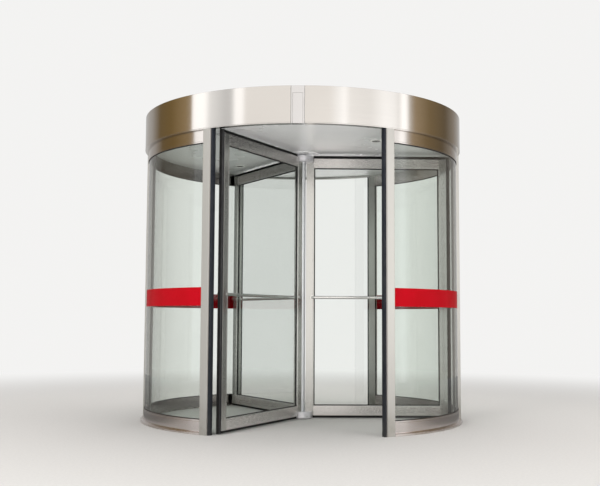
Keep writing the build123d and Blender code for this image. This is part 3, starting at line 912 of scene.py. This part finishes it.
for side in ("left", "right"):
    dressNode("mid_post_" + side, "postSteel")
    for half in ("front", "rear"):
        dressNode("mouth_post_" + half + "_" + side, "postSteel")
        rubberEdge(half, side)
print("side walls done")

floorPlate = {"radius": 0.072, "thick": 0.003, "pin": 0.010, "pinTop": 0.033, "centre": 0.0006, "edge": 0.0008,
              "step": 5.0}


def floorPivot():
    bm = bmesh.new()
    keys = ("radius", "thick", "pin", "pinTop", "centre")
    radius, thick, pin, pinTop, centre = (floorPlate[key] for key in keys)
    outline = [(centre, 0.0), (radius, 0.0), (radius, thick), (pin, thick), (pin, pinTop), (centre, pinTop)]
    turned(bm, rounded(outline, floorPlate["edge"], 2), step=floorPlate["step"])
    finishMesh("floorPivot", bm, ["hubSteel"], "drum", ["floor_bearing"])


floorPivot()

# hubs and shaft
hubs = {"radius": 0.094, "bore": 0.0283, "lowerFoot": 0.008, "lowerHead": 0.062, "upperFoot": 2.200,
        "upperHead": 2.252, "bevel": 0.003, "groove": 0.0011, "groovePart": 0.62, "edge": 0.0008, "step": 3.0,
        "screws": 3, "firstScrew": 63.0, "screwPart": 0.3, "screwSize": 1.3, "screwSink": 0.0006}


def hubRing(name, low, high, node):
    radius, bore, cut, bevel = hubs["radius"], hubs["bore"], hubs["groove"], hubs["bevel"]
    middle = low + hubs["groovePart"] * (high - low)
    bm = bmesh.new()
    outline = [(bore, low), (radius - bevel, low), (radius, low + bevel), (radius, middle - cut),
               (radius - cut, middle), (radius, middle + cut), (radius, high - bevel), (radius - bevel, high),
               (bore, high)]
    turned(bm, rounded(outline, hubs["edge"], 2), step=hubs["step"])
    # clamping screws in the side of the collar, between the wings
    size, seat = hubs["screwSize"], (radius - hubs["screwSink"], 0, low + hubs["screwPart"] * (high - low))
    for k in range(hubs["screws"]):
        angle = hubs["firstScrew"] + 360.0 / hubs["screws"] * k
        place = (Matrix.Rotation(math.radians(angle), 4, "Z") @ Matrix.Translation(seat)
                 @ Matrix.Rotation(math.radians(90), 4, "Y") @ Matrix.Diagonal((size, size, 1.0, 1.0)))
        addMesh(bm, head.data, place, slot=1)
    finishMesh(name, bm, ["hubSteel", "screwSteel"], "rotor", [node])


hubRing("lowerHubRing", hubs["lowerFoot"], hubs["lowerHead"], "lower_hub")
hubRing("upperHubRing", hubs["upperFoot"], hubs["upperHead"], "upper_hub")
dressNode("shaft", "shaftSteel")

# wings, drawn along +X and then turned
wing = {"inner": 0.036, "outer": 1.255, "low": 0.028, "high": 2.234, "half": 0.021, "stile": 0.070, "rail": 0.084,
        "bead": 0.005, "edge": 0.0014, "seat": 0.012, "slotHalf": 0.0070, "railLap": 0.0047, "hubGap": 0.0005,
        "tailGap": 0.0002, "tailBack": 0.0004, "beadLine": 0.013, "beadCut": 0.0007}
glazing = {"width": 0.0070, "lip": 0.0048, "face": 0.004, "sink": 0.0001, "tuck": 0.002, "slope": 0.55,
           "edge": 0.0010}


def profile(width):
    # section of a stile or rail: outer edge at 0, daylight edge at width, with bead lines and the glass slot
    half, bead, slot, seat = wing["half"], wing["bead"], wing["slotHalf"], width - wing["seat"]
    line, cut = width - wing["beadLine"], wing["beadCut"]
    return rounded([(0.0, -half), (line - cut, -half), (line, -half + cut), (line + cut, -half),
                    (width - bead, -half), (width, -half + bead), (width, -slot), (seat, -slot), (seat, slot),
                    (width, slot), (width, half - bead), (width - bead, half), (line + cut, half),
                    (line, half - cut), (line - cut, half), (0.0, half)], wing["edge"], 2)


def wingFrame(number, angle):
    bm = bmesh.new()
    low, high, half, inner, outer = (wing[key] for key in ("low", "high", "half", "inner", "outer"))
    stile, section = profile(wing["stile"]), profile(wing["rail"])
    # outer stile, drawn from the outer edge inwards
    prism(bm, stile, lambda u, v, end: (outer - u, v, high if end else low))
    # inner stile between the hubs, with short ends beside them
    lowHub, highHub = hubs["lowerHead"] + wing["hubGap"], hubs["upperFoot"] - wing["hubGap"]
    prism(bm, stile, lambda u, v, end: (inner + u, v, highHub if end else lowHub))
    tail = rounded(band(hubs["radius"] + wing["hubGap"], inner + wing["stile"] - wing["tailBack"], -half, half),
                   wing["edge"], 2)
    prism(bm, tail, lambda u, v, end: (u, v, lowHub - wing["tailGap"] if end else low))
    prism(bm, tail, lambda u, v, end: (u, v, high if end else highHub + wing["tailGap"]))
    # rails between the stiles
    first, last = inner + wing["stile"] - wing["railLap"], outer - wing["stile"] + wing["railLap"]
    prism(bm, section, lambda u, v, end: (last if end else first, v, low + u), slot=1)
    prism(bm, section, lambda u, v, end: (last if end else first, v, high - u), slot=1)
    finishMesh(f"wingFrame_{number}", bm, ["stileSteel", "wingRailSteel"], "rotor",
               [f"wing_{number}_frame"], turn=angle)


def wingGasket(number, angle):
    bm = bmesh.new()
    left, right = wing["inner"] + wing["stile"], wing["outer"] - wing["stile"]
    low, high = wing["low"] + wing["rail"], wing["high"] - wing["rail"]
    wide, tuck = glazing["width"], glazing["tuck"]
    for way in (-1, 1):
        near, far = way * (glazing["face"] + glazing["sink"]), way * (glazing["face"] + glazing["lip"])
        section = [(-tuck, near), (wide, near), (glazing["slope"] * wide, far), (-tuck, far)]
        section = rounded(section, glazing["edge"], 2)
        # four mitred strips: the outline's u runs into the pane from each side
        prism(bm, section, lambda u, v, end: (left + u, v, (high - u) if end else (low + u)))
        prism(bm, section, lambda u, v, end: (right - u, v, (high - u) if end else (low + u)))
        prism(bm, section, lambda u, v, end: ((right - u) if end else (left + u), v, low + u))
        prism(bm, section, lambda u, v, end: ((right - u) if end else (left + u), v, high - u))
    finishMesh(f"wingGasket_{number}", bm, ["blackGasket"], "rotor", turn=angle)


# rose and cap are radius and thickness, and each point of the edge is a share of the radius, a step back from it
# and a height, the last two as shares of the thickness
barFixing = {"height": 1.028, "inset": 0.053, "sink": 0.0002, "steps": 32, "rose": (0.0190, 0.0040),
             "cap": (0.0095, 0.0032), "edge": ((1.0, 0.0, 0.0), (1.0, 0.0, 0.55), (1.0, 0.35, 0.9), (0.70, 0.0, 1.0))}


def discOn(bm, along, way, radius, thick):
    # a bevelled disc standing on a wing's face, way is the side it faces
    face = way * (wing["half"] - barFixing["sink"])
    levels = [(wide * radius - back * thick, tall * thick) for wide, back, tall in barFixing["edge"]]
    centre, angles = barFixing["height"], evenAngles(barFixing["steps"])
    skin(bm, [[bm.verts.new((along + r * math.cos(angle), face + way * t, centre + r * math.sin(angle)))
               for angle in angles] for r, t in levels])


def barFixings(number, angle):
    # roses where the bar meets the stiles, and caps over the fixings on the other face
    bm = bmesh.new()
    for along in (wing["inner"] + barFixing["inset"], wing["outer"] - barFixing["inset"]):
        discOn(bm, along, -1, *barFixing["rose"])
        discOn(bm, along, 1, *barFixing["cap"])
    finishMesh(f"barFixings_{number}", bm, ["barSteel"], "rotor", turn=angle)


# brush seals
brush = {"holderHalf": 0.008, "holderHeight": 0.009, "holderFoot": 0.0002, "holderEdge": 0.0010,
         "shoulder": 0.6, "crown": 0.55,
         "backingHalf": 0.0150, "backingFoot": 0.0001, "backingThick": 0.0007, "backingEdge": 0.0003,
         "backingInset": 0.0005,
         "coreHalf": 0.0038, "coreFoot": 0.5, "coreTop": 0.7, "corePart": 0.95, "coreInset": 0.0015,
         "rows": 3, "pitch": 0.0021, "rowGap": 0.0017, "rowInset": 0.002,
         "strand": 0.00085, "strandTop": 0.60, "shortest": 0.90, "longest": 0.995, "seeds": (11, 12, 13),
         "topTip": 2.262, "footTip": 0.006, "outerTip": 1.292, "endGap": 0.0005, "hubGap": 0.0006}


def bristleRows():
    # rows of thin tapered strands on a line, leaning and ending unevenly
    tree, given, result = addGroup(
        "bristleRows", "Geometry",
        [("Length", "Float", 1.0), ("Pitch", "Float", 0.002), ("Rows", "Int", 3), ("Row Gap", "Float", 0.0025),
         ("Reach", "Float", 0.02), ("Strand", "Float", 0.0005), ("Lean", "Float", 0.09), ("Seed", "Int", 7)],
        [("Geometry", "Geometry")])
    wanted = given.outputs
    grid = addNode(tree, "GeometryNodeMeshGrid", {
        "Size X": wanted["Length"], "Size Y": times(tree, wanted["Rows"], wanted["Row Gap"]),
        "Vertices X": maths(tree, "DIVIDE", wanted["Length"], wanted["Pitch"]), "Vertices Y": wanted["Rows"]})
    moved = addNode(tree, "GeometryNodeTransform", {
        "Geometry": grid.outputs[0], "Translation": joinAxes(tree, times(tree, wanted["Length"], 0.5))})
    # one strand: a thin cone with three sides, its foot at height 0
    strand = addNode(tree, "GeometryNodeMeshCone", {
        "Vertices": 3, "Side Segments": 1, "Depth": wanted["Reach"], "Radius Bottom": wanted["Strand"],
        "Radius Top": times(tree, wanted["Strand"], brush["strandTop"])}, fill_type="NONE")
    lean = addNode(tree, "FunctionNodeRandomValue", {
        0: times(tree, wanted["Lean"], -1.0), 1: wanted["Lean"], "Seed": wanted["Seed"]},
        data_type="FLOAT_VECTOR")
    size = addNode(tree, "FunctionNodeRandomValue", {
        2: brush["shortest"], 3: brush["longest"], "Seed": wanted["Seed"]}, data_type="FLOAT")
    strands = addNode(tree, "GeometryNodeInstanceOnPoints", {
        "Points": moved.outputs[0], "Instance": strand.outputs[0], "Rotation": lean.outputs[0],
        "Scale": size.outputs[1]})
    endTree(tree, strands.outputs[0], "bristleBlack", result)
    return tree


bristleTree = bristleRows()


def brushStrip(bm, reach, length, seed, place):
    # clamping strip along +X with its bristles pointing up, then moved by place
    first = len(bm.verts)
    half, tall, foot = brush["holderHalf"], brush["holderHeight"], brush["holderFoot"]
    shoulder, crown = brush["shoulder"] * tall, brush["crown"] * half
    holder = rounded([(-half, foot), (half, foot), (half, shoulder), (crown, tall), (-crown, tall),
                      (-half, shoulder)], brush["holderEdge"], 2)
    wide, core = brush["backingHalf"], brush["coreHalf"]
    backing = rounded(band(-wide, wide, brush["backingFoot"], brush["backingThick"]), brush["backingEdge"], 1)
    low, top = brush["coreFoot"] * tall, tall + brush["corePart"] * (reach - tall)
    topHalf = brush["coreTop"] * core
    filling = [(-core, low), (core, low), (topHalf, top), (-topHalf, top)]
    for outline, inset, slot in ((holder, 0.0, 0), (backing, brush["backingInset"], 0),
                                 (filling, brush["coreInset"], 1)):
        prism(bm, outline, lambda u, v, end: (length - inset if end else inset, u, v), slot)
    addTree(bm, bristleTree, {
        "Length": length - 2 * brush["rowInset"], "Pitch": brush["pitch"], "Rows": brush["rows"],
        "Row Gap": brush["rowGap"], "Reach": reach - shoulder, "Strand": brush["strand"], "Seed": seed},
        Matrix.Translation((brush["rowInset"], 0, shoulder)))
    moveNewest(bm, first, place)


def wingBrushes(number, angle):
    bm = bmesh.new()
    start, end = hubs["radius"] + brush["hubGap"], wing["outer"] - brush["endGap"]
    low, high, outer, gap = wing["low"], wing["high"], wing["outer"], brush["endGap"]
    topTip, footTip = brush["topTip"], brush["footTip"]
    headSeed, footSeed, sideSeed = brush["seeds"]
    brushStrip(bm, topTip - high, end - start, headSeed, Matrix.Translation((start, 0, high)))
    brushStrip(bm, low - footTip, end - start, footSeed,
               Matrix.Translation((start, 0, low)) @ Matrix.Rotation(math.pi, 4, "X"))
    brushStrip(bm, brush["outerTip"] - outer, topTip - footTip - 2 * gap, sideSeed,
               Matrix.Translation((outer, 0, topTip - gap)) @ Matrix.Rotation(math.pi / 2, 4, "Y"))
    finishMesh(f"wingBrushes_{number}", bm, ["brushHolder", "bristleBlack"], "rotor",
               [f"wing_{number}_brushes"], turn=angle, weighted=False)


for number, angle in enumerate(door["wingAngles"], start=1):
    for makePiece in (wingFrame, wingGasket, barFixings, wingBrushes):
        makePiece(number, angle)
    dressNode(f"wing_{number}_glass", "wingPane")
    dressNode(f"wing_{number}_push_bar", "barSteel")
bpy.data.objects.remove(head)
print("rotor done")

# floor, world and lights
studio = {
    "pale": (0.90, 0.895, 0.885),          # what the camera sees behind the door
    "worldFill": 0.72,
    "floorColour": (0.575, 0.565, 0.555), "speckTone": 0.95, "speckScale": 55.0, "floorRoughness": 0.75,
    "floorShine": 0.25, "floorRadius": 40.0, "floorSides": 96, "fadeStart": 2.6, "fadeEnd": 7.5,
    "mirroredPart": 0.32,                  # how bright mirrored light is where it is dimmed, and where that starts
    "dimAcross": (1.34, 1.46), "dimAlong": (-1.45, -0.60), "dimBehind": (0.2, 1.2), "dimWorld": (-0.1, 0.3),
}
# what the polished steel mirrors: degrees from the front, brightness, warmth (0 neutral, 1 brown)
mirrored = (
    (-180, 0.62, 0.0), (-150, 0.55, 0.0), (-125, 0.40, 0.15), (-110, 0.17, 0.85), (-95, 0.20, 0.95),
    (-80, 0.33, 0.8), (-74.5, 0.42, 0.6), (-73, 1.60, 0.0), (-63, 1.60, 0.0), (-59, 1.10, 0.0),
    (-47, 0.80, 0.0), (-43, 0.86, 0.0), (-41, 1.55, 0.0), (-36, 1.55, 0.0), (-34, 1.13, 0.06),
    (18, 1.13, 0.06), (24, 1.32, 0.0), (27, 1.48, 0.0), (31, 1.18, 0.03), (44, 1.13, 0.03),
    (54, 1.38, 0.0), (61, 1.32, 0.0), (65, 1.10, 0.03), (67.5, 1.60, 0.0), (71, 1.60, 0.0),
    (73.5, 0.62, 0.2), (78, 0.38, 0.65), (93, 0.22, 0.8), (112, 0.14, 0.7), (130, 0.30, 0.3),
    (150, 0.55, 0.0),
)
mirrorTint = {"neutral": (1.0, 0.985, 0.97), "warm": (1.05, 0.65, 0.20)}
mirrorWall = {"radius": 6.5, "low": -0.5, "high": 7.0, "steps": 96, "bandTop": 3.3, "bandSoft": 0.6,
              "bandLeft": 0.82, "bandRight": 1.32, "bandHalf": 3.0, "bandDepth": 1.5}


def mirroredShare(tree, dim, first, last):
    # the pale background is dimmer where dim is high, for rays that have met a shiny surface
    lost = times(tree, metShiny(tree), ramp(tree, dim, first, last, 0.0, 1.0 - studio["mirroredPart"]))
    return maths(tree, "SUBTRACT", 1.0, lost)


def studioFloor():
    bm = bmesh.new()
    bmesh.ops.create_circle(bm, cap_ends=True, segments=studio["floorSides"], radius=studio["floorRadius"])
    mesh = meshFrom("studioFloor", bm)
    material, tree, shader, position = newMaterial("studioFloor")
    length = addNode(tree, "ShaderNodeVectorMath", {0: position}, operation="LENGTH").outputs["Value"]
    far = ramp(tree, length, studio["fadeStart"], studio["fadeEnd"], kind="SMOOTHSTEP")
    specks = ramp(tree, noise(tree, position, studio["speckScale"], 4.0), 0.35, 0.65)
    base = colourMix(tree, specks, studio["floorColour"], tone(studio["floorColour"], studio["speckTone"]))
    # painted shade: for rays off shiny surfaces the floor's colour and its far glow are darkened beside the door and
    # behind it, standing in for a dark room, so polished steel mirrors less floor there
    x, y = splitAxes(tree, position)[:2]
    across = ramp(tree, maths(tree, "ABSOLUTE", x), *studio["dimAcross"])
    beside = times(tree, across, ramp(tree, y, *studio["dimAlong"]))
    behind = ramp(tree, y, *studio["dimBehind"])
    share = mirroredShare(tree, maths(tree, "MAXIMUM", beside, behind), 0.0, 1.0)
    setShader(tree, shader, {"Base Color": colourMix(tree, share, (0.0, 0.0, 0.0), base),
                             "Roughness": studio["floorRoughness"], "Specular IOR Level": studio["floorShine"]})
    plain = addNode(tree, "ShaderNodeEmission", {"Color": studio["pale"], "Strength": share})
    showMixed(tree, far, shader, plain)
    mesh.materials.append(material)
    addObject("studioFloor", mesh)


def studioWorld():
    world = bpy.data.worlds.new("studioWorld")
    bpy.context.scene.world = world
    world.use_nodes = True
    tree = world.node_tree
    rays = addNode(tree, "ShaderNodeLightPath").outputs
    seen = maths(tree, "MAXIMUM", rays["Is Camera Ray"],
                 maths(tree, "MAXIMUM", rays["Is Glossy Ray"], rays["Is Transmission Ray"]))
    strength = ramp(tree, seen, 0.0, 1.0, studio["worldFill"], 1.0)
    towards = splitAxes(tree, addNode(tree, "ShaderNodeTexCoord").outputs["Generated"])
    share = mirroredShare(tree, towards[1], *studio["dimWorld"])
    setShader(tree, tree.nodes["Background"], {"Color": studio["pale"], "Strength": times(tree, strength, share)})


def mirrorScreen():
    # a round screen far outside the picture that only polished surfaces see
    bm = bmesh.new()
    rows = [[bm.verts.new(polar(mirrorWall["radius"], angle, mirrorWall[end])) for end in ("low", "high")]
            for angle in evenAngles(mirrorWall["steps"])]
    for near, far in zip(rows, rows[1:] + rows[:1]):
        bm.faces.new((near[0], near[1], far[1], far[0]))
    mesh = meshFrom("mirrorScreen", bm)
    material, tree, shader, position = newMaterial("mirrorScreen")
    tree.nodes.remove(shader)
    x, y, z = splitAxes(tree, position)
    # the angle is measured from the front, positive to the right
    angle = maths(tree, "ARCTAN2", x, times(tree, y, -1.0))
    colours = addNode(tree, "ShaderNodeValToRGB", {0: ramp(tree, angle, -math.pi, math.pi)})
    stops = colours.color_ramp.elements
    while len(stops) > 1:
        stops.remove(stops[-1])
    for i, (degrees, bright, warmth) in enumerate(mirrored):
        stop = stops[0] if i == 0 else stops.new((degrees + 180.0) / 360.0)
        if i == 0:
            stop.position = 0.0
        tint = [(1 - warmth) * a + warmth * b for a, b in zip(mirrorTint["neutral"], mirrorTint["warm"])]
        stop.color = (*tone(tint, bright), 1.0)
    # below the height that the fascia mirrors, the right side of the front is brighter than the left
    half, top = mirrorWall["bandHalf"], mirrorWall["bandTop"]
    sides = ramp(tree, x, -half, half, mirrorWall["bandLeft"], mirrorWall["bandRight"])
    under = ramp(tree, z, top, top - mirrorWall["bandSoft"])
    front = ramp(tree, y, 0.0, -mirrorWall["bandDepth"])
    lifted = times(tree, times(tree, under, front), maths(tree, "SUBTRACT", sides, 1.0))
    glow = addNode(tree, "ShaderNodeEmission", {0: colours.outputs[0], 1: maths(tree, "ADD", lifted, 1.0)})
    showSurface(tree, glow.outputs[0])
    mesh.materials.append(material)
    screen = addObject("mirrorScreen", mesh)
    screen.visible_camera = False
    screen.visible_transmission = False
    screen.visible_diffuse = False
    screen.visible_shadow = False


lamps = {
    "keyLight": {"place": (-4.2, -6.5, 5.6), "aim": (0, 0, 1.2), "size": (4.0, 3.0), "power": 385.0},
    "fillLight": {"place": (5.2, -5.5, 3.6), "aim": (0, 0, 1.2), "size": (3.0, 3.0), "power": 155.0},
    "topLight": {"place": (0.5, 1.0, 6.5), "aim": (0, 0, 1.0), "size": (4.5, 4.5), "power": 250.0},
    "lowLight": {"place": (0.6, -5.4, 0.5), "aim": (0.1, 0.0, 2.3), "size": (5.0, 0.8), "power": 28.0,
                 "spread": 60.0},
    "roomLight": {"place": (0.0, 5.8, 0.5), "aim": (0, 0, 2.3), "size": (4.0, 0.8), "power": 44.0,
                  "spread": 60.0},
}
lampColour = (1.0, 0.98, 0.95)


def softLight(name):
    # no lamp shows in metal or glass: the mirror screen is what they reflect
    values = lamps[name]
    lamp = bpy.data.lights.new(name, "AREA")
    lamp.spread = math.radians(values.get("spread", 180.0))
    lamp.shape = "RECTANGLE"
    lamp.size, lamp.size_y = values["size"]
    lamp.energy = values["power"]
    lamp.color = lampColour
    holder = addObject(name, lamp)
    direction = Vector(values["aim"]) - Vector(values["place"])
    holder.matrix_world = (Matrix.Translation(values["place"])
                           @ direction.to_track_quat("-Z", "Y").to_matrix().to_4x4())
    holder.visible_camera = False
    holder.visible_transmission = False
    holder.visible_glossy = False


studioFloor()
studioWorld()
for name in lamps:
    softLight(name)
mirrorScreen()
print("studio done")

# camera, where the picture was taken from
view = {"place": (0.20918, -7.76831, 0.85361), "turn": 1.675, "tilt": 4.743, "roll": 0.293, "lens": 54.083,
        "sensor": 36.0}
camera = bpy.data.cameras.new("viewCamera")
camera.lens = view["lens"]
camera.sensor_width = view["sensor"]
cameraObject = addObject("viewCamera", camera)
cameraObject.matrix_world = (
    Matrix.Translation(view["place"]) @ Matrix.Rotation(math.radians(view["turn"]), 4, "Z")
    @ Matrix.Rotation(math.radians(90 + view["tilt"]), 4, "X")
    @ Matrix.Rotation(math.radians(view["roll"]), 4, "Z"))
bpy.context.scene.camera = cameraObject
bpy.context.scene.view_settings.view_transform = "Standard"

for name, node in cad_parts.items():
    used = [holder.material.name if holder.material else None for holder in node.material_slots]
    if not node.hide_render:
        print("carried over:", name, used)
